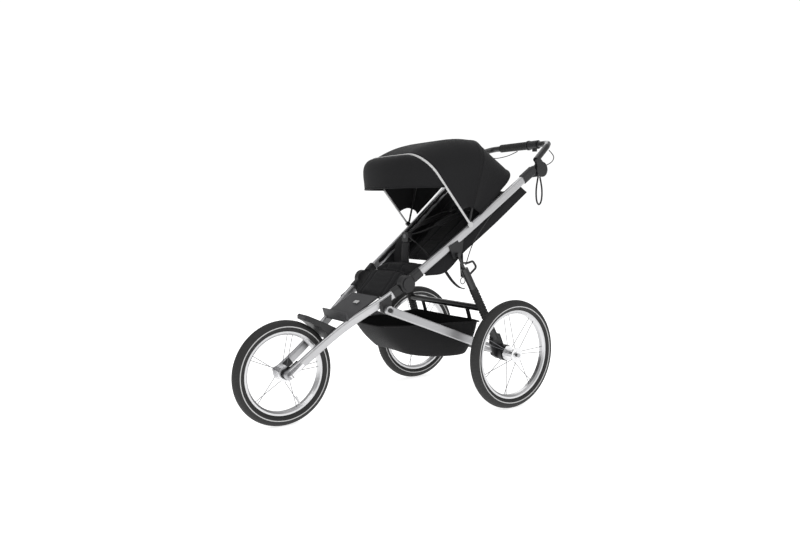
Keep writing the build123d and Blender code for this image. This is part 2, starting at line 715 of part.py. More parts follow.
with BuildPart() as basket:
    add(basket_solid(0, basket_floor, basket_rim))
    add(basket_solid(basket_wall, basket_floor + basket_wall, basket_rim + 0.5), mode=Mode.SUBTRACT)
    for side in (-1, 1):
        inner = 146 if side > 0 else -180
        add(side_slab(((-426, 340), (-400, 340), (-400, 372), (-426, 382)), inner, inner + 34))
        strap_x = 140 if side > 0 else -165
        add(side_slab(((-77, 345), (-74, 345), (-88, 400), (-91, 400)), strap_x, strap_x + 25))
    add(arm_whole.part, mode=Mode.SUBTRACT)
    add(mirrored(arm_whole.part), mode=Mode.SUBTRACT)
    add(cross_tube.part, mode=Mode.SUBTRACT)
    add(basket_solid(basket_wall, basket_floor + basket_wall, basket_rim + 0.5), mode=Mode.SUBTRACT)
write(largest_solid(basket.part), "basket")
with BuildPart() as basket_front:
    add(side_slab(((-508, 352), (-396.2, 241), (-396.6, 244.8), (-505, 355)), -125, 125))
write(basket_front, "basket_front")

# ---- cables and straps
cable_radius = 2.0


def smooth_cord(route, radius):
    """Cord along straight runs, each corner rounded by 0.45 of its shorter run over tan(half the turn)."""
    runs = [Vector(*b) - Vector(*a) for a, b in zip(route, route[1:])]
    radii = []
    for before, after in zip(runs, runs[1:]):
        turn = math.radians(before.get_angle(after))
        radii.append(0.45 * min(before.length, after.length) / math.tan(turn / 2))
    print("cord length", round(sum(run.length for run in runs)), "radii", [round(r) for r in radii])
    return round_tube(route, radius, radii)


with BuildPart() as drop_cable:
    add(smooth_cord(((216, -12, 797), (216, -44, 760), (216, -82, 720), (216, -112, 684), (215, -134, 643),
                     (210, -146.6, 596)), cable_radius))
    add(upper_tube.part, mode=Mode.SUBTRACT)
with BuildPart() as brake_cables:
    add(drop_cable.part)
    mirror(drop_cable.part, about=Plane.YZ)
    add(smooth_cord(((229, 305, 1067), (238, 328, 1047), (243, 318, 1022), (244.8, 284, 1004), (245, 250, 994)),
                    cable_radius))
    add(smooth_cord(((-12, bar_y, bar_z - 21), (-52, 353, 1070), (-100, 349, 1062), (-150, 338, 1058),
                     (-196, 314, 1068)), cable_radius))
    add(handle_socket.part, mode=Mode.SUBTRACT)
write(brake_cables, "brake_cables")
strap_x = 240.0
with BuildPart() as wrist_strap:
    add(smooth_cord(((strap_x, 228, 950), (strap_x, 219, 914), (strap_x, 217, 876), (strap_x, 222, 843),
                     (strap_x, 236, 829), (strap_x, 250, 843), (strap_x, 255, 876), (strap_x, 251, 914),
                     (strap_x, 239, 950)), 2.5))
write(wrist_strap, "wrist_strap")
with BuildPart() as seat_straps:
    add(flat_bar(((188, -156, 632), (189, -150, 534)), 2.5, 16, 1))
    add(side_panel.part, mode=Mode.SUBTRACT)
    with BuildSketch(Plane(origin=(189, -149, 520), x_dir=(0, 1, 0), z_dir=(1, 0, 0))):
        Circle(14)
        Circle(10, mode=Mode.SUBTRACT)
    extrude(amount=3)
    add(flat_bar(((167.5, -222, 562), (186, -180, 506), (194, -156, 488), (200, -142, 486)), 3, 16, 1.2))
write(seat_straps, "seat_straps")
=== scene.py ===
"""Baby stroller: the soft goods, finishes, floor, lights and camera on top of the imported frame."""

from __future__ import annotations

import json
import logging
import math
from dataclasses import dataclass, field
from enum import Enum
from typing import Callable, Sequence

import bmesh
import bpy
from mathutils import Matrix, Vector

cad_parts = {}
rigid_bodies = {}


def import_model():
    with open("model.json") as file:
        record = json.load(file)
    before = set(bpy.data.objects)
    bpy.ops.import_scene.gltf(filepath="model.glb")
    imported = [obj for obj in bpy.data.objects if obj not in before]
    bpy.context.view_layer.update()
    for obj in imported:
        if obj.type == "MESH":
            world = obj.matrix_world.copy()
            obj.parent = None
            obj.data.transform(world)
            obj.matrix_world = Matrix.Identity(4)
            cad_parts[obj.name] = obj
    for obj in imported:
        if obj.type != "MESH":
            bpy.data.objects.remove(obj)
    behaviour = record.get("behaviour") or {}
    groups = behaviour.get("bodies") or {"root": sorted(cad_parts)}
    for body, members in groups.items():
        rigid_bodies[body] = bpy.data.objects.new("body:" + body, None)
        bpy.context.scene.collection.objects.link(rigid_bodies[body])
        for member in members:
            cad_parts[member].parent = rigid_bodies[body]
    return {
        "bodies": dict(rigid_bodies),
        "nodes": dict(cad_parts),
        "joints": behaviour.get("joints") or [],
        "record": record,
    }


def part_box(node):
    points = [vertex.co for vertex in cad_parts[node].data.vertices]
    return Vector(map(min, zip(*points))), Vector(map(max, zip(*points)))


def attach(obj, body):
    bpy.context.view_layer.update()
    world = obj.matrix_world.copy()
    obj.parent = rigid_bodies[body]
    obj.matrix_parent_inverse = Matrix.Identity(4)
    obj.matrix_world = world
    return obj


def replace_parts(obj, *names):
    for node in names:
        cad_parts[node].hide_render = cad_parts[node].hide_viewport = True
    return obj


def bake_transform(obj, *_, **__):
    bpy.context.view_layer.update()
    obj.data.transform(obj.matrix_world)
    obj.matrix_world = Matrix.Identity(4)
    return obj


LOG = logging.getLogger("stroller")
Point = tuple[float, float, float]
Number = float | int


# ---------------------------------------------------------------- shader expressions
class Term:
    """One output socket that takes part in arithmetic; every operator adds a Math node."""

    def __init__(self, graph: "Graph", socket: bpy.types.NodeSocket) -> None:
        """Keep the socket and the graph that it belongs to."""
        self.graph = graph
        self.socket = socket

    def _math(self, operation: str, *others: "Term | Number") -> "Term":
        """Add a Math node.

        Args:
            operation: Blender's name of the operation.
            others: further operands, sockets or numbers.

        Returns:
            The result as a new term.
        """
        values = {0: self} | {i + 1: o for i, o in enumerate(others)}
        return self.graph.add("ShaderNodeMath", {"operation": operation}, values)

    def _swapped(self, operation: str, other: Number) -> "Term":
        """The same with the number first."""
        return self.graph.add("ShaderNodeMath", {"operation": operation}, {0: other, 1: self})

    def __add__(self, other: "Term | Number") -> "Term":
        """Sum."""
        return self._math("ADD", other)

    def __sub__(self, other: "Term | Number") -> "Term":
        """Difference."""
        return self._math("SUBTRACT", other)

    def __mul__(self, other: "Term | Number") -> "Term":
        """Product."""
        return self._math("MULTIPLY", other)

    def __truediv__(self, other: "Term | Number") -> "Term":
        """Quotient."""
        return self._math("DIVIDE", other)

    def __pow__(self, other: "Term | Number") -> "Term":
        """Power."""
        return self._math("POWER", other)

    def __neg__(self) -> "Term":
        """Negative."""
        return self._math("MULTIPLY", -1.0)

    def __rsub__(self, other: Number) -> "Term":
        """A number less this term."""
        return self._swapped("SUBTRACT", other)

    def __rtruediv__(self, other: Number) -> "Term":
        """A number over this term."""
        return self._swapped("DIVIDE", other)

    __radd__ = __add__
    __rmul__ = __mul__

    def sin(self) -> "Term":
        """Sine."""
        return self._math("SINE")

    def abs(self) -> "Term":
        """Size without its sign."""
        return self._math("ABSOLUTE")

    def angle_with(self, other: "Term") -> "Term":
        """The angle of the point (other, self)."""
        return self._math("ARCTAN2", other)

    def smooth(self, low: float, high: float) -> "Term":
        """A smooth step from 0 at low to 1 at high."""
        settings = {"interpolation_type": "SMOOTHSTEP", "clamp": True}
        values = {"Value": self, "From Min": low, "From Max": high}
        return self.graph.add("ShaderNodeMapRange", settings, values)


class Graph:
    """The nodes of one material."""

    def __init__(self, name: str) -> None:
        """Start a material with only a shader and an output."""
        self.material = bpy.data.materials.new(name)
        self.material.use_nodes = True
        self.tree = self.material.node_tree
        self.shader = self.tree.nodes["Principled BSDF"]

    def add(self, kind: str, settings: dict[str, object], values: dict[str | int, object],
            output: str | int = 0) -> Term:
        """Add one node.

        Args:
            kind: the node's type name.
            settings: properties that are set before the sockets.
            values: the value or term of each input socket, by name or place.
            output: the output that is wanted, by name or place.

        Returns:
            That output as a term.
        """
        node = self.tree.nodes.new(kind)
        for name, value in settings.items():
            setattr(node, name, value)
        for key, value in values.items():
            self._feed(node.inputs[key], value)
        return Term(self, node.outputs[output])

    def _feed(self, socket: bpy.types.NodeSocket, value: object) -> None:
        """Link a term to a socket, or set its value."""
        if isinstance(value, Term):
            self.tree.links.new(value.socket, socket)
        elif isinstance(value, tuple) and len(value) == 3 and socket.type == "RGBA":
            socket.default_value = (*value, 1.0)
        else:
            socket.default_value = value

    def set(self, **values: object) -> None:
        """Set or link the shader's sockets; an underscore in a name stands for a space."""
        for name, value in values.items():
            self._feed(self.shader.inputs[name.replace("_", " ")], value)

    def place(self) -> tuple[Term, Term, Term]:
        """The point on the piece at rest, in metres, as x, y and z."""
        spot = self.add("ShaderNodeTexCoord", {}, {}, "Object")
        return tuple(self.add("ShaderNodeSeparateXYZ", {}, {"Vector": spot}, axis) for axis in "XYZ")

    def point(self, x: Term | Number, y: Term | Number, z: Term | Number) -> Term:
        """A vector from three numbers or terms."""
        return self.add("ShaderNodeCombineXYZ", {}, {"X": x, "Y": y, "Z": z})

    def noise(self, scale: float, detail: float = 4.0, where: Term | None = None) -> Term:
        """Cloudy noise from 0 to 1 at so many cells a metre."""
        spot = where or self.add("ShaderNodeTexCoord", {}, {}, "Object")
        return self.add("ShaderNodeTexNoise", {}, {"Vector": spot, "Scale": scale, "Detail": detail})

    def blend(self, factor: Term | float, first: Point | Term, second: Point | Term) -> Term:
        """A colour between two colours."""
        return self.add("ShaderNodeMix", {"data_type": "RGBA"}, {0: factor, 6: first, 7: second}, 2)

    def bump(self, height: Term, strength: float, distance: float) -> None:
        """Raise the surface by a height from 0 to 1, times the distance in metres."""
        values = {"Strength": strength, "Distance": distance, "Height": height}
        normal = self.add("ShaderNodeBump", {}, values)
        self.set(Normal=normal)


# ---------------------------------------------------------------- finishes
@dataclass(frozen=True)
class Finish:
    """A surface finish: a name, a colour and how rough it is."""

    name: str
    colour: Point
    roughness: float = 0.5

    def tint(self, scale: float) -> Point:
        """The colour, lighter or darker."""
        return tuple(min(1.0, c * scale) for c in self.colour)

    def detail(self, graph: Graph) -> None:
        """Lay the finish on a fresh graph."""
        raise NotImplementedError

    def material(self) -> bpy.types.Material:
        """Build the material."""
        graph = Graph(self.name)
        self.detail(graph)
        return graph.material


@dataclass(frozen=True)
class Metal(Finish):
    """Bare or anodised metal with drawn lines along one direction."""

    lines: Point = (40.0, 40.0, 900.0)
    wear: float = 0.1

    def detail(self, graph: Graph) -> None:
        """Fine drawn lines, soft cloudy patches and a little handling wear."""
        x, y, z = graph.place()
        drawn = graph.noise(1.0, 3.0, graph.point(x * self.lines[0], y * self.lines[1], z * self.lines[2]))
        cloud = graph.noise(14.0, 5.0)
        graph.set(Metallic=1.0, Roughness=self.roughness + (drawn - 0.5) * 0.08 + (cloud - 0.5) * self.wear)
        graph.set(Base_Color=graph.blend(cloud * 0.6 + drawn * 0.4, self.tint(0.86), self.tint(1.1)))
        graph.bump(drawn, 0.12, 0.0004)


@dataclass(frozen=True)
class Rim(Finish):
    """Brushed wheel rim, turned round its own axle."""

    centre: Point = (0.0, 0.0, 0.0)

    def detail(self, graph: Graph) -> None:
        """Turned rings and faint cloudy patches."""
        x, y, z = graph.place()
        across, up = y - self.centre[1], z - self.centre[2]
        reach = (across * across + up * up) ** 0.5
        rings = graph.noise(1.0, 2.0, graph.point(reach * 2600.0, x * 60.0, 0.0))
        cloud = graph.noise(18.0)
        graph.set(Metallic=1.0, Roughness=self.roughness + rings * 0.14)
        graph.set(Base_Color=graph.blend(rings * 0.5 + cloud * 0.5, self.tint(0.82), self.tint(1.08)))
        graph.bump(rings, 0.18, 0.0003)


@dataclass(frozen=True)
class Moulded(Finish):
    """Moulded plastic or painted metal with a fine spark grain."""

    grain: float = 900.0
    depth: float = 0.0003
    coat: float = 0.0

    def detail(self, graph: Graph) -> None:
        """Grain, faint flow marks and rubbed patches."""
        grain = graph.noise(self.grain, 2.0)
        cloud = graph.noise(22.0, 6.0)
        graph.set(Roughness=self.roughness + (cloud - 0.5) * 0.18 + (grain - 0.5) * 0.06)
        graph.set(Base_Color=graph.blend(cloud, self.tint(0.7), self.tint(1.5)))
        if self.coat:
            graph.set(Coat_Weight=self.coat, Coat_Roughness=0.2)
        graph.bump(grain * 0.8 + cloud * 0.2, 0.35, self.depth)


@dataclass(frozen=True)
class Tyre(Finish):
    """Tyre rubber with a block tread and a thin pale reflective ring on the wall."""

    centre: Point = (0.0, 0.0, 0.0)
    radius: float = 0.22
    half: float = 0.0225
    ring: float = 0.885
    blocks: int = 96

    def detail(self, graph: Graph) -> None:
        """Tread blocks round the crown, wall lines and the ring."""
        x, y, z = graph.place()
        side, across, up = x - self.centre[0], y - self.centre[1], z - self.centre[2]
        reach = (across * across + up * up) ** 0.5
        turn = up.angle_with(across)
        crown = reach.smooth(self.radius - self.half * 0.55, self.radius - self.half * 0.42)
        slant = (turn * self.blocks + side.abs() * (1.7 / self.half)).sin()
        grooves = (side * (5.0 * math.pi / self.half)).sin().abs().smooth(0.1, 0.35)
        tread = slant.smooth(-0.5, -0.2) * grooves * crown
        wall = (reach * 1900.0).sin() * (1.0 - crown) * 0.16
        dust = graph.noise(60.0, 5.0)
        ring = (reach - self.radius * self.ring).abs().smooth(0.0022, 0.0012)
        black = graph.blend(dust * 0.5 + crown * 0.3, self.colour, self.tint(2.0))
        graph.set(Base_Color=graph.blend(ring, black, (0.62, 0.62, 0.62)))
        graph.set(Roughness=self.roughness + dust * 0.15)
        graph.bump(tread + wall + dust * 0.08, 0.6, 0.0016)


@dataclass(frozen=True)
class Cloth(Finish):
    """Woven fabric whose threads follow space, so it needs no unwrapping."""

    pitch: float = 0.0018
    depth: float = 0.0004
    slub: float = 0.35
    sheen: float = 0.05

    def detail(self, graph: Graph) -> None:
        """Two crossing threads, slubs in the yarn and broad soft patches."""
        x, y, z = graph.place()
        turn = 2.0 * math.pi / self.pitch
        warp, weft, third = (x * turn).sin(), (y * turn).sin(), (z * turn).sin()
        weave = (warp * weft + weft * third + third * warp) * 0.33 + 0.5
        slub = graph.noise(420.0, 2.0)
        cloud = graph.noise(9.0, 5.0)
        shade = weave * 0.4 + slub * self.slub + cloud * 0.35
        graph.set(Base_Color=graph.blend(shade, self.tint(0.55), self.tint(1.9)))
        graph.set(Roughness=self.roughness + (cloud - 0.5) * 0.16)
        graph.set(Sheen_Weight=self.sheen, Sheen_Roughness=0.45, Specular_IOR_Level=0.22)
        graph.bump(weave * 0.7 + slub * 0.3, 0.5, self.depth)


@dataclass(frozen=True)
class Webbing(Finish):
    """Ribbed harness webbing."""

    rib: float = 0.0016

    def detail(self, graph: Graph) -> None:
        """Ribs across the strap with a fine diagonal twill."""
        x, y, z = graph.place()
        turn = 2.0 * math.pi / self.rib
        rib = ((y + z) * turn).sin() * 0.5 + 0.5
        twill = ((x + z) * (turn * 0.8)).sin() * 0.5 + 0.5
        fuzz = graph.noise(700.0, 2.0)
        shade = rib * 0.4 + twill * 0.3 + fuzz * 0.3
        graph.set(Base_Color=graph.blend(shade, self.tint(0.6), self.tint(1.8)))
        graph.set(Roughness=self.roughness + fuzz * 0.1, Sheen_Weight=0.05, Specular_IOR_Level=0.25)
        graph.bump(rib * 0.6 + twill * 0.4, 0.5, 0.0004)


@dataclass(frozen=True)
class Foam(Finish):
    """Soft closed foam with a pebbled skin."""

    def detail(self, graph: Graph) -> None:
        """Small pebbles and a hand-worn sheen."""
        cells = graph.add("ShaderNodeTexVoronoi", {"feature": "SMOOTH_F1"}, {"Scale": 420.0}, "Distance")
        cloud = graph.noise(25.0)
        graph.set(Base_Color=graph.blend(cloud, self.tint(0.7), self.tint(1.6)))
        graph.set(Roughness=self.roughness + (cloud - 0.5) * 0.2)
        graph.bump(cells, 0.5, 0.0006)


@dataclass(frozen=True)
class Backdrop(Finish):
    """Seamless pale studio paper."""

    def detail(self, graph: Graph) -> None:
        """Paper tooth that hardly shows."""
        tooth = graph.noise(300.0, 2.0)
        graph.set(Base_Color=graph.blend(tooth, self.tint(0.985), self.tint(1.0)), Roughness=self.roughness)


class Slot(Enum):
    """The record's material slots."""

    SILVER_TUBE = "silver_tube"
    POLISHED = "polished_metal"
    RIM = "rim_metal"
    SPOKE = "spoke_steel"
    AXLE = "axle_steel"
    TYRE = "tyre_rubber"
    BLACK_PLASTIC = "black_plastic"
    GREY_PLASTIC = "grey_plastic"
    BUTTON = "button_plastic"
    BLACK_TUBE = "black_tube"
    PIPING = "silver_piping"
    GRIP = "grip_foam"
    CABLE = "cable_jacket"
    CANOPY = "canopy_fabric"
    SEAT = "seat_fabric"
    WEBBING = "harness_webbing"
    BASKET = "basket_fabric"


FINISHES: dict[Slot, Finish] = {
    Slot.SILVER_TUBE: Metal("anodised_tube", (0.52, 0.52, 0.53), 0.4),
    Slot.POLISHED: Metal("polished_hub", (0.72, 0.72, 0.73), 0.22),
    Slot.SPOKE: Metal("drawn_spoke", (0.16, 0.16, 0.17), 0.35),
    Slot.AXLE: Metal("turned_axle", (0.4, 0.4, 0.41), 0.3),
    Slot.BLACK_PLASTIC: Moulded("black_nylon", (0.012, 0.012, 0.013), 0.48),
    Slot.GREY_PLASTIC: Moulded("footrest_grey", (0.045, 0.045, 0.048), 0.55, 500.0, 0.0006),
    Slot.BUTTON: Moulded("button_grey", (0.12, 0.12, 0.125), 0.3),
    Slot.BLACK_TUBE: Moulded("black_paint", (0.01, 0.01, 0.011), 0.34, 1600.0, 0.0001, 0.3),
    Slot.PIPING: Webbing("reflective_piping", (0.5, 0.5, 0.5), 0.38),
    Slot.GRIP: Foam("grip_foam", (0.012, 0.012, 0.012), 0.75),
    Slot.CABLE: Moulded("cable_jacket", (0.008, 0.008, 0.008), 0.42),
    Slot.CANOPY: Cloth("canopy_cloth", (0.0075, 0.0075, 0.0082), 0.82, 0.0016),
    Slot.SEAT: Cloth("seat_cloth", (0.011, 0.011, 0.012), 0.86, 0.0024, 0.0006),
    Slot.WEBBING: Webbing("webbing", (0.016, 0.016, 0.017), 0.7),
    Slot.BASKET: Cloth("basket_cloth", (0.007, 0.007, 0.0075), 0.8, 0.003, 0.0007),
}


# ---------------------------------------------------------------- workshop helpers
@dataclass
class Shop:
    """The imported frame, its drawing origin and the built materials."""

    frame: dict
    made: dict[str, bpy.types.Material] = field(default_factory=dict)

    def __post_init__(self) -> None:
        """Find the rear axle, from which the drawing's lengths run."""
        self.axle = next(j for j in self.joints() if j["name"] == "rear_wheel_left_spin")["pos_m"][1]

    def joints(self) -> list[dict]:
        """The record's joints."""
        return self.frame["record"]["behaviour"]["joints"]

    def at(self, x: float, y: float, z: float) -> Vector:
        """A drawing point in millimetres as a point of the row frame in metres."""
        return Vector((x / 1000, y / 1000 + self.axle, z / 1000))

    def route(self, points: Sequence[Point]) -> list[Vector]:
        """Several drawing points as points of the row frame."""
        return [self.at(*p) for p in points]

    def finish(self, slot: Slot) -> bpy.types.Material:
        """The material of a slot, built once."""
        if slot.value not in self.made:
            self.made[slot.value] = FINISHES[slot].material()
        return self.made[slot.value]

    def dress(self, obj: bpy.types.Object, slot: Slot) -> bpy.types.Object:
        """Give a new piece the finish of a slot."""
        obj.data.materials.clear()
        obj.data.materials.append(self.finish(slot))
        return obj


def mesh_object(name: str, points: Sequence[Vector], faces: Sequence[Sequence[int]]) -> bpy.types.Object:
    """A smooth-shaded mesh object from points and faces, with shared points merged."""
    mesh = bpy.data.meshes.new(name)
    mesh.from_pydata([tuple(p) for p in points], [], [tuple(f) for f in faces])
    work = bmesh.new()
    work.from_mesh(mesh)
    bmesh.ops.remove_doubles(work, verts=work.verts, dist=1e-5)
    bmesh.ops.recalc_face_normals(work, faces=work.faces)
    for face in work.faces:
        face.smooth = True
    work.to_mesh(mesh)
    work.free()
    obj = bpy.data.objects.new(name, mesh)
    bpy.context.scene.collection.objects.link(obj)
    return obj


def grid_object(name: str, rows: Sequence[Sequence[Vector]], around: bool = False) -> bpy.types.Object:
    """A sheet or tube through rows of points.

    Args:
        name: the object's name.
        rows: equally long rows of points.
        around: whether each row closes on itself.

    Returns:
        The new object.
    """
    wide = len(rows[0])
    last = wide if around else wide - 1
    faces = [(r * wide + c, r * wide + (c + 1) % wide, (r + 1) * wide + (c + 1) % wide, (r + 1) * wide + c)
             for r in range(len(rows) - 1) for c in range(last)]
    return mesh_object(name, [p for row in rows for p in row], faces)


def thicken(obj: bpy.types.Object, thickness: float, offset: float = 0.0) -> bpy.types.Object:
    """Turn a sheet into cloth of a thickness, applied to its mesh."""
    shell = obj.modifiers.new("thickness", "SOLIDIFY")
    shell.thickness = thickness
    shell.offset = offset
    return apply_all(obj)


def apply_all(obj: bpy.types.Object) -> bpy.types.Object:
    """Apply every modifier to the object's mesh."""
    bpy.context.view_layer.update()
    graph = bpy.context.evaluated_depsgraph_get()
    mesh = bpy.data.meshes.new_from_object(obj.evaluated_get(graph), depsgraph=graph)
    obj.modifiers.clear()
    obj.data = mesh
    return obj


def soften(obj: bpy.types.Object, levels: int = 1) -> bpy.types.Object:
    """Subdivide the mesh smoothly."""
    obj.modifiers.new("soft", "SUBSURF").levels = levels
    return apply_all(obj)


def lerp(stops: Sequence[tuple[float, ...]], t: float) -> tuple[float, ...]:
    """The values at t between stops of (t, value, ...), eased from stop to stop."""
    for low, high in zip(stops, stops[1:]):
        if t <= high[0]:
            share = max(0.0, (t - low[0]) / (high[0] - low[0]))
            return tuple(a + (b - a) * share for a, b in zip(low[1:], high[1:]))
    return tuple(stops[-1][1:])


def smooth_line(points: Sequence[Vector], steps: int) -> list[Vector]:
    """Evenly numbered points on a Catmull-Rom line through the given points."""
    ends = [points[0] * 2 - points[1], *points, points[-1] * 2 - points[-2]]
    out: list[Vector] = []
    for i in range(steps + 1):
        where = i * (len(points) - 1) / steps
        k = min(int(where), len(points) - 2)
        t = where - k
        a, b, c, d = ends[k:k + 4]
        square, cube = 2 * a - 5 * b + 4 * c - d, 3 * b - a - 3 * c + d
        out.append(0.5 * (2 * b + (c - a) * t + square * t * t + cube * t ** 3))
    return out


def tube_object(name: str, line: Sequence[Vector], radius: Callable[[float], float],
                sides: int = 16) -> bpy.types.Object:
    """A round bar along a line whose radius may change, closed at both ends."""
    rows: list[list[Vector]] = []
    side = Vector((1.0, 0.0, 0.0))
    for i, spot in enumerate(line):
        along = (line[min(i + 1, len(line) - 1)] - line[max(i - 1, 0)]).normalized()
        lean = side.dot(along)
        side = (side - along * lean).normalized() if abs(lean) < 0.98 else along.orthogonal().normalized()
        up = along.cross(side)
        size = radius(i / (len(line) - 1))
        rows.append([spot + (side * math.cos(a) + up * math.sin(a)) * size
                     for a in (2 * math.pi * k / sides for k in range(sides))])
    rows.insert(0, [line[0]] * sides)
    rows.append([line[-1]] * sides)
    return grid_object(name, rows, around=True)


def strap_object(name: str, line: Sequence[Vector], width: float, thickness: float,
                 side: Vector) -> bpy.types.Object:
    """A flat strap along a line.

    Args:
        name: the object's name.
        line: points along its middle.
        width: its width in metres.
        thickness: its thickness in metres.
        side: the direction that its width lies along.

    Returns:
        The new object.
    """
    outline = ((-0.5, -0.35), (-0.5, 0.35), (-0.46, 0.5), (0.46, 0.5),
               (0.5, 0.35), (0.5, -0.35), (0.46, -0.5), (-0.46, -0.5))
    rows: list[list[Vector]] = []
    for i, spot in enumerate(line):
        along = (line[min(i + 1, len(line) - 1)] - line[max(i - 1, 0)]).normalized()
        across = (side - along * side.dot(along)).normalized()
        up = along.cross(across)
        rows.append([spot + across * (a * width) + up * (b * thickness) for a, b in outline])
    rows.insert(0, [line[0]] * len(outline))
    rows.append([line[-1]] * len(outline))
    return grid_object(name, rows, around=True)


def pad_object(name: str, line: Sequence[Vector], halves: Sequence[float], thickness: float, crown: float,
               up: Sequence[Vector]) -> bpy.types.Object:
    """A crowned pad along a line across X.

    Args:
        name: the object's name.
        line: points along the middle of the pad's core.
        halves: half widths at those points.
        thickness: thickness near the rim.
        crown: extra thickness in the middle of the upper face.
        up: the direction of the upper face at those points.

    Returns:
        The closed pad.
    """
    wide, square = 28, 5.0
    rows: list[list[Vector]] = []
    last = len(line) - 1
    for i, (spot, half, rise) in enumerate(zip(line, halves, up)):
        v = 2 * i / last - 1
        end = max(0.0, 1 - abs(v) ** 8) ** (1 / 4)
        ring: list[Vector] = []
        for k in range(2 * wide):
            u = -math.cos(math.pi * (k % wide) / wide) * (1 if k < wide else -1)
            edge = max(0.0, 1 - abs(u) ** square) ** (1 / 3)
            swell = thickness * 0.5 + (crown * (1 - u * u) * (1 - v ** 4) if k < wide else 0.0)
            height = swell * edge * end * (1 if k < wide else -1)
            pull = 1 - 0.03 * (1 - abs(v) ** 3)
            ring.append(spot + Vector((u * half * pull * (0.9 + 0.1 * end), 0, 0)) + rise * height)
        rows.append(ring)
    rows.insert(0, [line[0]] * (2 * wide))
    rows.append([line[-1]] * (2 * wide))
    return grid_object(name, rows, around=True)


def puff(obj: bpy.types.Object, cap: float, voxel: float = 0.006) -> bpy.types.Object:
    """Args:
        obj: the closed pad.
        cap: the farthest that a point may move, in metres.
        voxel: the size of the even mesh that the run works on.

    Returns:
        The same object, with the result in its mesh.
    """
    remesh = obj.modifiers.new("even", "REMESH")
    remesh.mode, remesh.voxel_size = "VOXEL", voxel
    apply_all(obj)
    rest = [v.co.copy() for v in obj.data.vertices]
    cloth = obj.modifiers.new("cloth", "CLOTH")
    cloth.settings.use_pressure = True
    cloth.settings.uniform_pressure_force = 4.0
    cloth.settings.effector_weights.gravity = 0.0
    cloth.point_cache.frame_start, cloth.point_cache.frame_end = 1, 20
    scene = bpy.context.scene
    for number in range(1, 21):
        scene.frame_set(number)
    apply_all(obj)
    for vertex, start in zip(obj.data.vertices, rest):
        move = vertex.co - start
        if move.length > cap:
            vertex.co = start + move * (cap / move.length)
    scene.frame_set(1)
    for polygon in obj.data.polygons:
        polygon.use_smooth = True
    return obj


def carve(obj: bpy.types.Object, up: Vector, groove: Callable[[Vector], float]) -> bpy.types.Object:
    """Press seams into the upper face of a pad.

    Args:
        obj: the pad.
        up: the direction of its upper face.
        groove: the depth at a point, in metres.

    Returns:
        The same object.
    """
    normals = [v.normal.copy() for v in obj.data.vertices]
    for vertex, normal in zip(obj.data.vertices, normals):
        facing = max(0.0, normal.dot(up))
        vertex.co -= normal * (groove(vertex.co) * min(1.0, facing * 2.5))
    obj.data.update()
    return obj


def valley(distance: float, width: float) -> float:
    """A rounded groove profile: 1 at its middle and 0 past its width."""
    share = abs(distance) / width
    return (1 - share * share) ** 2 if share < 1 else 0.0


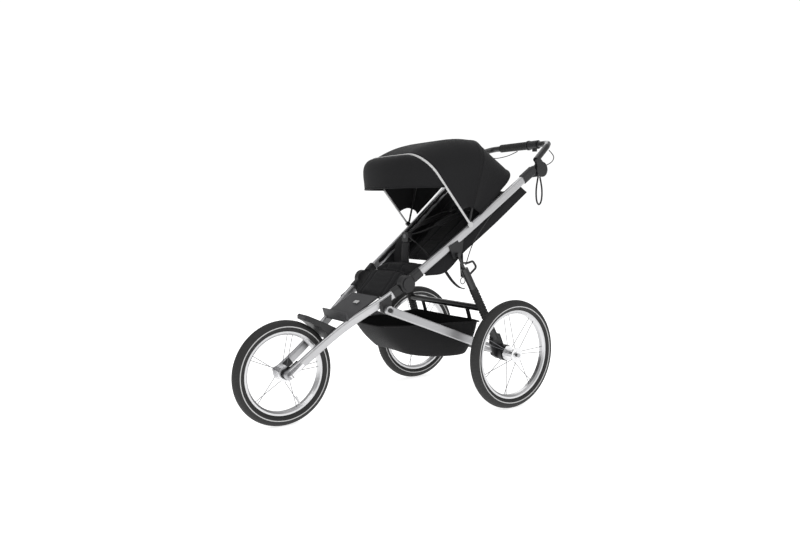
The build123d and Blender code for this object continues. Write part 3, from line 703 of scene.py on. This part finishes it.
# ---------------------------------------------------------------- sub-assemblies
@dataclass
class Canopy:
    """The sun canopy: rear panel, front panel, hooded visor and its seams."""

    shop: Shop
    pivot: Point = (0.0, -132.0, 748.0)
    half: float = 215.0
    radius: float = 361.0
    corner: float = 112.0
    rear: float = 40.5
    middle: float = 76.0
    front: float = 131.0
    sag: float = 13.0
    columns: int = 56

    def section(self, angle: float, inset: float) -> list[Vector]:
        """The arch of the canopy at one angle.

        Args:
            angle: degrees up from the rear, about the pivots.
            inset: how far the cloth is drawn in, in millimetres.

        Returns:
            Points from the left foot over the top to the right foot.
        """
        half, top = self.half - inset * 0.4, self.radius - inset
        straight, arc, span = top - self.corner - 70, self.corner * math.pi / 2, 2 * (half - self.corner)
        total = 2 * straight + 2 * arc + span
        out: list[Vector] = []
        for i in range(self.columns + 1):
            run = total * i / self.columns
            mirrored = run > total / 2
            run = min(run, total - run)
            if run < straight:
                x, reach = half, 70 + run
            elif run < straight + arc:
                turn = (run - straight) / self.corner
                x = half - self.corner * (1 - math.cos(turn))
                reach = top - self.corner + self.corner * math.sin(turn)
            else:
                x, reach = half - self.corner - (run - straight - arc), top
            crown = 1.0 * (1 - (x / half) ** 2) * min(1.0, reach / top)
            turn = math.radians(angle)
            reach += crown
            out.append(self.shop.at(-x if mirrored else x, self.pivot[1] + reach * math.cos(turn),
                                    self.pivot[2] + reach * math.sin(turn)))
        return out

    def panel(self, name: str, first: float, last: float, rows: int) -> bpy.types.Object:
        """One stretched panel between two bows, sagging between them."""
        lines: list[list[Vector]] = []
        for r in range(rows + 1):
            t = r / rows
            inset = 2.0 + self.sag * math.sin(math.pi * t) - 2.5 * (valley(t, 0.06) + valley(1 - t, 0.06))
            lines.append(self.section(first + (last - first) * t, inset))
        obj = grid_object(name, lines)
        return obj

    def build(self) -> None:
        """Build the panels, the visor and the raised bow seam."""
        shop = self.shop
        gap = 0.25
        rear = self.panel("canopy_cloth_rear", self.rear, self.middle - gap, 12)
        front = self.panel("canopy_cloth_front", self.middle - gap, self.front - 0.9, 20)
        for obj, node, first, last in ((rear, "canopy_rear_panel", self.rear, self.middle),
                                       (front, "canopy_front_panel", self.middle, self.front)):
            area = sum(p.area for p in obj.data.polygons)
            wide, long = 1.0, math.radians(last - first) * self.radius / 1000 * 1.1
            thicken(obj, 0.0022)
            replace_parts(shop.dress(obj, Slot.CANOPY), node)
            min(area, wide * long)
        self.join(rear, self.rear, self.middle)
        self.join(front, self.middle, self.front)
        self.visor()
        self.bow_seam()

    def join(self, obj: bpy.types.Object, first: float, last: float) -> None:
        """Bake the panel's placement into its mesh; the bow ends that it works out are not used."""
        reach = 300.0
        ends = [self.shop.at(0, self.pivot[1] + reach * math.cos(math.radians(a)),
                             self.pivot[2] + reach * math.sin(math.radians(a))) for a in (first, last)]
        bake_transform(obj)

    def visor(self) -> None:
        """The hood in front of the front bow, with its rolled brim."""
        shop = self.shop
        arch = [p for p in self.section(self.front + 0.4, -1.5) if p.z > 0.9]
        rows: list[list[Vector]] = []
        steps = 14
        for s in range(steps + 1):
            t = s / steps
            row: list[Vector] = []
            for p in arch:
                share = min(1.0, abs(p.x) / 0.2085)
                bow = (1 - share ** 2.2) ** (1 / 2.0)
                brim = Vector((p.x, shop.axle - 0.266 - 0.182 * bow, 0.896 - 0.004 * bow))
                base = p.lerp(brim, t)
                swell = 0.046 * bow * math.sin(math.pi * t ** 0.85)
                flare = bow * max(0.0, t - 0.86) / 0.14
                row.append(base + Vector((0, -0.80, 0.58)) * swell + Vector((0, -0.004, -0.001)) * flare)
            rows.append(row)
        lip = [p + Vector((0, 0.022, 0.001)) for p in rows[-1]]
        obj = thicken(grid_object("visor_cloth", rows + [lip]), 0.003)
        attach(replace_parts(shop.dress(obj, Slot.CANOPY), "visor"), "canopy_front")
        brim = tube_object("visor_brim_piping", rows[-1], lambda t: 0.0028, 10)
        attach(shop.dress(brim, Slot.CANOPY), "canopy_front")

    def bow_seam(self) -> None:
        """The raised seam over the middle bow and the hem along the rear edge."""
        for name, angle, size in (("bow_seam", self.middle, 0.0024), ("rear_hem", self.rear + 0.6, 0.0032)):
            seam = tube_object(name, self.section(angle, 1.2), lambda t, r=size: r, 8)
            body = "canopy_mid" if angle == self.middle else "upper_frame"
            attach(self.shop.dress(seam, Slot.CANOPY), body)


@dataclass
class Seat:
    """The padded seat: back, pan, leg rest and the slung sides."""

    shop: Shop
    hinge: Point = (0.0, -222.0, 585.0)
    lean: float = 38.5
    length: float = 500.0
    cap: float = 0.008

    def build(self) -> None:
        """Build every cushion and both slings."""
        self.back()
        self.pan()
        self.legs()
        self.slings()

    def back(self) -> None:
        """The reclining back with its headrest seam and lengthwise channels."""
        turn = math.radians(self.lean)
        along, up = Vector((0, math.cos(turn), math.sin(turn))), Vector((0, -math.sin(turn), math.cos(turn)))
        foot = self.shop.at(*self.hinge) + up * 0.002 + along * 0.004
        steps = 44
        line = [foot + along * (self.length / 1000 * 0.985 * i / steps) for i in range(steps + 1)]
        halves = [0.134 + 0.022 * i / steps for i in range(steps + 1)]
        pad = puff(pad_object("seat_back_pad", line, halves, 0.019, 0.006, [up] * (steps + 1)), self.cap)

        def groove(p: Vector) -> float:
            """Depth of the seams at a point of the back."""
            high = (p - foot).dot(along)
            side = abs(p.x)
            return (0.006 * valley(side - 0.098 - 0.03 * high, 0.009) + 0.007 * valley(high - 0.345, 0.01)
                    + 0.004 * valley(high - 0.12, 0.008)
                    + 0.004 * valley(side - 0.045, 0.007) * (high < 0.34))

        soften(carve(pad, up, groove))
        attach(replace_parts(self.shop.dress(pad, Slot.SEAT), "seat_back"), "seat_back")

    def pan(self) -> None:
        """The seat cushion up to its front crest."""
        shop = self.shop
        line = smooth_line(shop.route([(0, -244, 564), (0, -290, 564), (0, -340, 563), (0, -368, 556)]), 20)
        ups = [Vector((0, -0.12 - 0.5 * (i / 20) ** 3, 1)).normalized() for i in range(21)]
        pad = puff(pad_object("seat_pan_pad", line, [0.134] * 21, 0.022, 0.008, ups), self.cap)
        soften(carve(pad, Vector((0, 0, 1)), lambda p: 0.006 * valley(abs(p.x) - 0.05, 0.008)))
        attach(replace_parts(shop.dress(pad, Slot.SEAT), "seat_pan"), "upper_frame")

    def legs(self) -> None:
        """The leg rest that runs over the fold from the crest to the footrest."""
        shop = self.shop
        line = smooth_line(shop.route(
            [(0, -372, 562), (0, -392, 545), (0, -420, 512), (0, -450, 480), (0, -474, 458)]), 30)
        up = Vector((0, -0.69, 0.72))
        halves = [0.1355 - 0.008 * i / 30 for i in range(31)]
        pad = puff(pad_object("leg_rest_pad", line, halves, 0.013, 0.004, [up] * 31), 0.004)

        def groove(p: Vector) -> float:
            """Depth of the piped panel's outline."""
            low = shop.axle - p.y
            inner = 0.004 * valley(abs(p.x) - 0.062 - 0.12 * (low - 0.37), 0.006)
            return inner + 0.004 * valley(abs(p.x) - 0.100, 0.006) + 0.004 * valley(low - 0.39, 0.007)

        soften(carve(pad, up, groove))
        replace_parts(shop.dress(pad, Slot.SEAT), "calf_pad", "seat_seam")
        shop.at(0, -432, 490)
        shop.at(0, -392, 536)
        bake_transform(pad)
        welt = tube_object("leg_rest_welt", [p + up * 0.0085 for p in smooth_line(shop.route(
            [(-122, -384, 553), (-60, -378, 560), (0, -377, 561), (60, -378, 560), (122, -384, 553)]), 40)],
            lambda t: 0.0022, 8)
        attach(shop.dress(welt, Slot.SEAT), "upper_frame")

    def slings(self) -> None:
        """The cloth walls that hang from the upper tubes."""
        shop = self.shop
        tops = [(-330, 592), (-250, 650), (-160, 717), (-60, 792), (50, 878), (112, 926)]
        lows = [(-322, 549), (-232, 560), (-148, 636), (-60, 704), (22, 768), (162, 884)]
        for hand in (1, -1):
            name = "left" if hand > 0 else "right"
            upper = smooth_line([shop.at(0, y, z) for y, z in tops], 36)
            lower = smooth_line([shop.at(0, y, z) for y, z in lows], 36)
            rows: list[list[Vector]] = []
            for r in range(11):
                t = r / 10
                row: list[Vector] = []
                for a, b in zip(upper, lower):
                    spot = a.lerp(b, t)
                    wall = 0.1568 + 0.14758 * (spot.y - shop.axle + 0.382)
                    ripple = 0.0009 * math.sin(spot.y * 95 + t * 3.0) * math.sin(math.pi * t)
                    tuck = 0.0092 * max(0.0, 1 - t * 1.6)
                    reach = wall - tuck - 0.003 * math.sin(math.pi * t) + ripple
                    row.append(Vector((hand * reach, spot.y, spot.z)))
                rows.append(row)
            obj = grid_object(f"seat_sling_{name}", rows)
            thicken(obj, 0.0016)
            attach(shop.dress(obj, Slot.SEAT), "upper_frame")
            if hand > 0:
                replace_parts(obj, "seat_sides")
            hem = tube_object(f"sling_hem_{name}", rows[-1], lambda t: 0.0022, 8)
            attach(shop.dress(hem, Slot.SEAT), "upper_frame")
            self.gusset(name, hand, rows[-1])

    def gusset(self, name: str, hand: int, edge: list[Vector]) -> None:
        """The loose cloth between a sling's lower hem and the reclining back."""
        shop = self.shop
        turn = math.radians(self.lean)
        along = Vector((0, math.cos(turn), math.sin(turn)))
        foot = shop.at(*self.hinge)
        outer = [p for p in edge if p.y > foot.y - 0.004]
        rows: list[list[Vector]] = []
        for r in range(9):
            t = r / 8
            row: list[Vector] = []
            for k, p in enumerate(outer):
                run = self.length / 1000 * 0.98 * k / (len(outer) - 1)
                seam = foot + along * run + Vector((hand * (0.130 + 0.044 * run), 0, 0))
                dip = 0.012 * math.sin(math.pi * t) + 0.0012 * math.sin(k * 1.7) * math.sin(math.pi * t)
                row.append(p.lerp(seam, t) + Vector((0, 0.4 * dip, -dip)))
            rows.append(row)
        obj = grid_object(f"seat_gusset_{name}", rows)
        thicken(obj, 0.0016)
        shop.dress(obj, Slot.SEAT)
        start = shop.at(hand * 178, -222, 600)
        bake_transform(obj)


@dataclass
class Harness:
    """The five-point harness."""

    shop: Shop
    web: float = 0.032
    chest_web: float = 0.025
    shoulder_half: float = 0.0215
    crotch_half: float = 0.025

    def build(self) -> None:
        """Build pads and straps."""
        shop = self.shop
        for hand in (1, -1):
            name = "left" if hand > 0 else "right"
            line = smooth_line(shop.route(
                [(60 * hand, -12, 801), (59 * hand, -60, 787),
                 (57 * hand, -120, 767), (54 * hand, -182, 744)]), 30)
            up = Vector((0, -0.33, 0.94))
            flat = pad_object(f"shoulder_pad_{name}", line, [self.shoulder_half] * 31, 0.011, 0.003, [up] * 31)
            pad = puff(flat, 0.003, 0.004)
            middle = 58 * hand / 1000
            soften(carve(pad, up, lambda p, m=middle: 0.0018 * valley(abs(p.x - m) - 0.015, 0.004)))
            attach(shop.dress(pad, Slot.WEBBING), "seat_back")
            if hand > 0:
                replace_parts(pad, "shoulder_harness")
            high = strap_object(f"shoulder_strap_{name}", smooth_line(shop.route(
                [(60 * hand, -20, 800), (62 * hand, 5, 806), (66 * hand, 34, 804)]), 14),
                self.web, 0.002, Vector((1, 0, 0)))
            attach(shop.dress(high, Slot.WEBBING), "seat_back")
            low = strap_object(f"chest_strap_{name}", smooth_line(shop.route(
                [(54 * hand, -176, 745), (46 * hand, -214, 730),
                 (34 * hand, -250, 716), (20 * hand, -282, 708)]), 20),
                self.chest_web, 0.002, Vector((1, 0, 0)))
            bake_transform(shop.dress(low, Slot.WEBBING), "upper_frame", "seat_back",
                     shop.at(0, -276, 708), shop.at(0, -186, 742))
            waist = strap_object(f"waist_strap_{name}", smooth_line(shop.route(
                [(18 * hand, -292, 692), (52 * hand, -286, 676), (92 * hand, -270, 640),
                 (118 * hand, -254, 600), (126 * hand, -250, 578)]), 26),
                self.web, 0.0022, Vector((0, 0.8, -0.6)))
            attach(shop.dress(waist, Slot.WEBBING), "upper_frame")
        line = smooth_line(shop.route([(0, -297, 574), (0, -300, 610), (0, -299, 645), (0, -295, 678)]), 24)
        flat = pad_object("crotch_pad", line, [self.crotch_half] * 25, 0.012, 0.003, [Vector((0, -1, 0.05))] * 25)
        crotch = puff(flat, 0.003, 0.004)
        soften(carve(crotch, Vector((0, -1, 0)), lambda p: 0.0015 * valley(abs(p.x) - 0.018, 0.004)))
        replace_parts(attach(shop.dress(crotch, Slot.WEBBING), "upper_frame"), "lap_harness")


@dataclass
class Basket:
    """The sagging carry basket under the seat."""

    shop: Shop
    bulge: float = 0.007
    crease: float = 0.0016
    hem_radius: float = 0.0035
    wall: float = 0.002

    def build(self) -> None:
        """Loft the tub from its rim to its floor, then add its hem and tabs."""
        shop = self.shop
        rim = [(0, -500, 352), (70, -500, 352), (120, -488, 354),
               (146, -432, 352), (166, -330, 350), (190, -220, 350),
               (212, -110, 350), (214, -80, 350), (170, -72, 350), (80, -71, 349), (0, -71, 348)]
        floor = [(0, -385, 236), (55, -384, 235), (98, -380, 231),
                 (124, -362, 226), (142, -300, 214), (155, -220, 207),
                 (168, -140, 205), (164, -104, 208), (120, -96, 211), (55, -95, 212), (0, -95, 212)]
        full_rim = rim + [(-x, y, z) for x, y, z in reversed(rim[1:-1])]
        full_floor = floor + [(-x, y, z) for x, y, z in reversed(floor[1:-1])]
        top, low = shop.route(full_rim), shop.route(full_floor)
        rows: list[list[Vector]] = []
        steps = 12
        for s in range(steps + 1):
            t = s / steps
            row: list[Vector] = []
            for k, (a, b) in enumerate(zip(top, low)):
                spot = a.lerp(b, t)
                out = Vector((spot.x, spot.y - shop.axle + 0.25, 0))
                hang = math.sin(math.pi * t)
                belly = self.bulge * hang + self.crease * math.sin(k * 2.3) * hang ** 2
                row.append(spot + out.normalized() * belly - Vector((0, 0, 0.004 * math.sin(math.pi * t))))
            rows.append(row)
        centre = Vector((0, shop.axle - 0.245, 0.2095))
        for t in (0.25, 0.5, 0.75, 1.0):
            rows.append([p.lerp(centre, t) for p in low])
        obj = soften(grid_object("basket_cloth", rows, around=True))
        thicken(obj, self.wall)
        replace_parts(shop.dress(obj, Slot.BASKET), "basket", "basket_front")
        shop.at(0, -505, 350)
        shop.at(0, -420, 300)
        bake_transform(obj)
        hem = tube_object("basket_hem", top[2:19], lambda t: self.hem_radius, 8)
        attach(shop.dress(hem, Slot.BASKET), "rear_frame")
        for hand in (1, -1):
            name = "left" if hand > 0 else "right"
            tab = strap_object(f"basket_tab_{name}", smooth_line(shop.route(
                [(152 * hand, -74, 346), (152 * hand, -82, 372), (152 * hand, -90, 395)]), 8),
                0.025, 0.002, Vector((1, 0, 0)))
            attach(shop.dress(tab, Slot.WEBBING), "rear_frame")


@dataclass
class Running:
    """Small running gear: valve stems, strut boots and the footrest patch."""

    shop: Shop
    stem: float = 0.034
    nut_radius: float = 0.0046
    thread_radius: float = 0.0029
    cap_radius: float = 0.0035
    boot_radius: float = 0.0172
    rib_height: float = 0.0012
    ribs: int = 13

    def build(self) -> None:
        """Build the pieces that the wheels and struts carry."""
        for name, body, x, y, z, radius, turn in (
                ("front_valve", "front_wheel", 0, -863.4, 199.4, 144.4, -62),
                ("left_valve", "rear_wheel_left", 329, 0, 222, 167.0, 160),
                ("right_valve", "rear_wheel_right", -329, 0, 222, 167.0, 150)):
            self.valve(name, body, x, y, z, radius, math.radians(turn))
        for hand in (1, -1):
            self.boot("left" if hand > 0 else "right", hand)
        self.patch()

    def valve(self, name: str, body: str, x: float, y: float, z: float, radius: float, turn: float) -> None:
        """A brass valve stem with its dust cap, pointing at the hub."""
        ray = Vector((0, math.cos(turn), math.sin(turn)))
        start = self.shop.at(x, y, z) + ray * (radius / 1000 + 0.001)
        line = [start - ray * (self.stem * i / 24) for i in range(25)]

        def size(t: float) -> float:
            """Nut, thread and cap."""
            if t < 0.12:
                return self.nut_radius
            if t < 0.62:
                return self.thread_radius + 0.0002 * math.sin(t * 150)
            return self.cap_radius - 0.0012 * max(0.0, t - 0.9) / 0.1

        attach(self.shop.dress(tube_object(name, line, size, 14), Slot.POLISHED), body)

    def boot(self, name: str, hand: int) -> None:
        """The ribbed rubber boot round the lower strut."""
        top, foot = self.shop.at(205 * hand, -188, 627), self.shop.at(265 * hand, -34, 280)
        line = [top.lerp(foot, 0.40 + 0.42 * i / 120) for i in range(121)]
        def size(t: float) -> float:
            """The boot's radius: ribs between two plain cuffs."""
            rib = self.rib_height * math.sin(t * 2 * math.pi * self.ribs)
            return self.boot_radius + rib * (0.06 < t < 0.94)

        ribbed = tube_object(f"strut_boot_{name}", line, size, 28)
        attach(self.shop.dress(ribbed, Slot.GRIP), "rear_frame")

    def patch(self) -> None:
        """The plain pale patch on the footrest."""
        shop = self.shop
        line = smooth_line(shop.route([(4, -553, 446.5), (34, -553, 446.5)]), 10)
        obj = strap_object("footrest_patch", line, 0.016, 0.0016, Vector((0, 0.85, 0.52)))
        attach(shop.dress(obj, Slot.PIPING), "front_frame")


@dataclass
class Lines:
    """Straps and cables that hang free."""

    shop: Shop
    wrist_radius: float = 0.0036
    cable_radius: float = 0.002
    strap_width: float = 0.016

    def build(self) -> None:
        """Build the wrist strap, the recline straps and the brake cables."""
        self.wrist()
        self.recline()
        self.cables()

    def curve(self, name: str, points: Sequence[Point], radius: float) -> bpy.types.Object:
        """A NURBS cord whose control points are the route's own points."""
        data = bpy.data.curves.new(name, "CURVE")
        data.dimensions = "3D"
        spline = data.splines.new("NURBS")
        spline.points.add(len(points) - 1)
        for knot, point in zip(spline.points, self.shop.route(points)):
            knot.co = (*point, 1.0)
        spline.order_u = 3
        spline.use_endpoint_u = True
        data.bevel_depth = radius
        data.bevel_resolution = 3
        data.resolution_u = 10
        obj = bpy.data.objects.new(name, data)
        bpy.context.scene.collection.objects.link(obj)
        return obj

    def measured(self, obj: bpy.types.Object) -> tuple[bpy.types.Object, list[Vector], float]:
        """The cord, the line that it follows and its length."""
        data = obj.data.copy()
        data.bevel_depth = 0.0
        plain = bpy.data.objects.new("line", data)
        graph = bpy.context.evaluated_depsgraph_get()
        line = [v.co.copy() for v in bpy.data.meshes.new_from_object(plain, depsgraph=graph).vertices]
        bpy.data.objects.remove(plain)
        length = sum((b - a).length for a, b in zip(line, line[1:]))
        return obj, line, length

    def wrist(self) -> None:
        """The wrist strap under the handlebar's left hub."""
        x = 240
        points = [(x, 228, 950), (x, 219, 914), (x, 217, 876), (x, 222, 843), (x, 236, 829), (x, 250, 843),
                  (x, 255, 876), (x, 251, 914), (x, 239, 950)]
        cord, line, length = self.measured(self.curve("wrist_loop", points, self.wrist_radius))
        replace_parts(self.shop.dress(cord, Slot.WEBBING), "wrist_strap")
        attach(cord, "upper_frame")

    def recline(self) -> None:
        """The recline strap with its ring, and the strap behind the seat."""
        shop = self.shop
        hang = strap_object("recline_strap", smooth_line(shop.route(
            [(188, -156, 634), (188, -154, 590), (189, -150, 535)]), 14),
                            self.strap_width, 0.0022, Vector((1, 0.3, 0)))
        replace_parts(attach(shop.dress(hang, Slot.WEBBING), "upper_frame"), "seat_straps")
        turns = (2 * math.pi * k / 40 for k in range(41))
        loop = [shop.at(190, -149 + 12 * math.sin(a), 520 + 13 * math.cos(a)) for a in turns]
        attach(shop.dress(tube_object("recline_ring", loop, lambda t: 0.0019, 10), Slot.AXLE), "upper_frame")
        tail = strap_object("seat_tail_strap", smooth_line(shop.route(
            [(167, -222, 561), (178, -196, 522), (189, -170, 496), (198, -146, 487)]), 18),
            self.strap_width, 0.0024, Vector((1, 0.2, 0)))
        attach(shop.dress(tail, Slot.WEBBING), "upper_frame")

    def cables(self) -> None:
        """The brake cables: two drops behind the tubes, the loop at the hub and the run under the bar."""
        drop = [(216, -12, 797), (216, -44, 760), (216, -82, 720),
                (216, -112, 684), (215, -134, 643), (210, -146.6, 596)]
        mirror = [(-x, y, z) for x, y, z in drop]
        loop = [(229, 305, 1067), (238, 328, 1047), (243, 318, 1022), (244.8, 284, 1004), (245, 250, 994)]
        under = [(-12, 357, 1084), (-52, 353, 1070), (-100, 349, 1062), (-150, 338, 1058), (-196, 314, 1068)]
        runs = {"brake_drop_left": (drop, "upper_frame"), "brake_drop_right": (mirror, "upper_frame"),
                "brake_loop": (loop, "handlebar"), "brake_under_bar": (under, "handlebar")}
        for i, (name, (points, body)) in enumerate(runs.items()):
            cord, line, length = self.measured(self.curve(name, points, self.cable_radius))
            self.shop.dress(cord, Slot.CABLE)
            if i == 0:
                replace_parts(cord, "brake_cables")
            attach(cord, body)


@dataclass
class Hardware:
    """The CAD nodes that keep their shape and take a finish."""

    shop: Shop

    def build(self) -> None:
        """Give each carried-over node the finish of its slot."""
        record = self.shop.frame["record"]
        slots = {s["node"]: s["material_slot"] for s in record["subparts"]}
        spins = {j["child"]: j["pos_m"] for j in self.shop.joints() if j["name"].endswith("_spin")}
        for name, node in self.shop.frame["nodes"].items():
            slot = Slot(slots[name])
            wheel = next((w for w in spins if name.startswith(w)), "")
            turns = slot in (Slot.TYRE, Slot.RIM)
            material = self.wheel_finish(slot, wheel, spins) if turns else self.shop.finish(slot)
            node.data.materials.clear()
            node.data.materials.append(material)

    def wheel_finish(self, slot: Slot, wheel: str, spins: dict[str, list[float]]) -> bpy.types.Material:
        """The tyre's or rim's finish, which turns about that wheel's own axle."""
        name = f"{wheel}_{slot.value}"
        if name not in self.shop.made:
            centre = tuple(spins[wheel])
            if slot is Slot.RIM:
                made: Finish = Rim(name, (0.66, 0.66, 0.67), 0.26, centre)
            else:
                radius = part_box(f"{wheel}_tyre")[1].z - centre[2]
                made = Tyre(name, (0.012, 0.012, 0.012), 0.62, centre, radius)
            self.shop.made[name] = made.material()
        return self.shop.made[name]


@dataclass
class Studio:
    """The floor, the light and the camera."""

    shop: Shop
    eye: Point = (2.24375, -1.58340, 0.78329)
    ahead: Point = (-0.80945, 0.57989, -0.09231)
    lens: float = 29.98
    ambient: float = 0.42
    glow: float = 0.72

    def backdrop(self, tree: bpy.types.NodeTree) -> None:
        """Show pure white behind the object, whatever light the world gives it."""
        kinds = ("ShaderNodeLightPath", "ShaderNodeBackground", "ShaderNodeMixShader")
        ray, seen, mix = (tree.nodes.new(kind) for kind in kinds)
        seen.inputs["Strength"].default_value = 1.05
        seen.inputs["Color"].default_value = (1.0, 1.0, 1.0, 1.0)
        tree.links.new(ray.outputs["Is Camera Ray"], mix.inputs[0])
        tree.links.new(tree.nodes["Background"].outputs[0], mix.inputs[1])
        tree.links.new(seen.outputs[0], mix.inputs[2])
        tree.links.new(mix.outputs[0], tree.nodes["World Output"].inputs["Surface"])

    def build(self) -> None:
        """Set the stage."""
        self.floor()
        lamps = (("key", (1.6, -2.2, 3.0), 2.2, 26.0), ("fill", (3.2, 1.6, 2.2), 2.6, 14.0),
                 ("back", (-2.4, 2.2, 2.8), 2.4, 22.0), ("top", (0.0, 0.0, 3.4), 2.6, 20.0))
        for name, spot, size, power in lamps:
            self.lamp(name, spot, size, power)
        world = bpy.data.worlds.new("studio")
        world.use_nodes = True
        world.node_tree.nodes["Background"].inputs["Color"].default_value = (1.0, 1.0, 1.0, 1.0)
        world.node_tree.nodes["Background"].inputs["Strength"].default_value = self.ambient
        self.backdrop(world.node_tree)
        bpy.context.scene.world = world
        bpy.context.scene.view_settings.view_transform = "Standard"
        self.camera()

    def floor(self) -> None:
        """A broad sweep of paper."""
        rows = [[Vector((x, y, -0.0005)) for x in (-14.0, 0.0, 14.0)] for y in (-14.0, 0.0, 14.0)]
        paper = grid_object("studio_floor", rows)
        paper.data.materials.append(Backdrop("studio_paper", (0.96, 0.96, 0.96), 0.9).material())
        shader = paper.data.materials[0].node_tree.nodes["Principled BSDF"]
        shader.inputs["Emission Color"].default_value = (1.0, 1.0, 1.0, 1.0)
        shader.inputs["Emission Strength"].default_value = self.glow

    def lamp(self, name: str, spot: Point, size: float, power: float) -> None:
        """One soft square light aimed at the seat."""
        data = bpy.data.lights.new(name, "AREA")
        data.size, data.energy = size, power
        lamp = bpy.data.objects.new(name, data)
        lamp.location = spot
        lamp.rotation_euler = (Vector((0, 0, 0.55)) - Vector(spot)).to_track_quat("-Z", "Y").to_euler()
        bpy.context.scene.collection.objects.link(lamp)

    def camera(self) -> None:
        """The camera at the chosen three-quarter view."""
        data = bpy.data.cameras.new("camera")
        data.lens, data.sensor_width = self.lens, 36.0
        data.shift_x, data.shift_y = -0.0024, 0.0033
        data.clip_end = 60.0
        camera = bpy.data.objects.new("camera", data)
        camera.location = self.eye
        camera.rotation_euler = Vector(self.ahead).to_track_quat("-Z", "Y").to_euler()
        bpy.context.scene.collection.objects.link(camera)
        bpy.context.scene.camera = camera


def main() -> None:
    """Build the stroller's soft goods and finishes in order."""
    logging.basicConfig(level=logging.INFO, format="%(name)s: %(message)s")
    shop = Shop(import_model())
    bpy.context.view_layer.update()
    kinds = (Studio, Hardware, Lines, Canopy, Seat, Harness, Basket, Running)
    for part in (kind(shop) for kind in kinds):
        LOG.info("building %s", type(part).__name__)
        part.build()


if __name__ == "__main__":
    main()
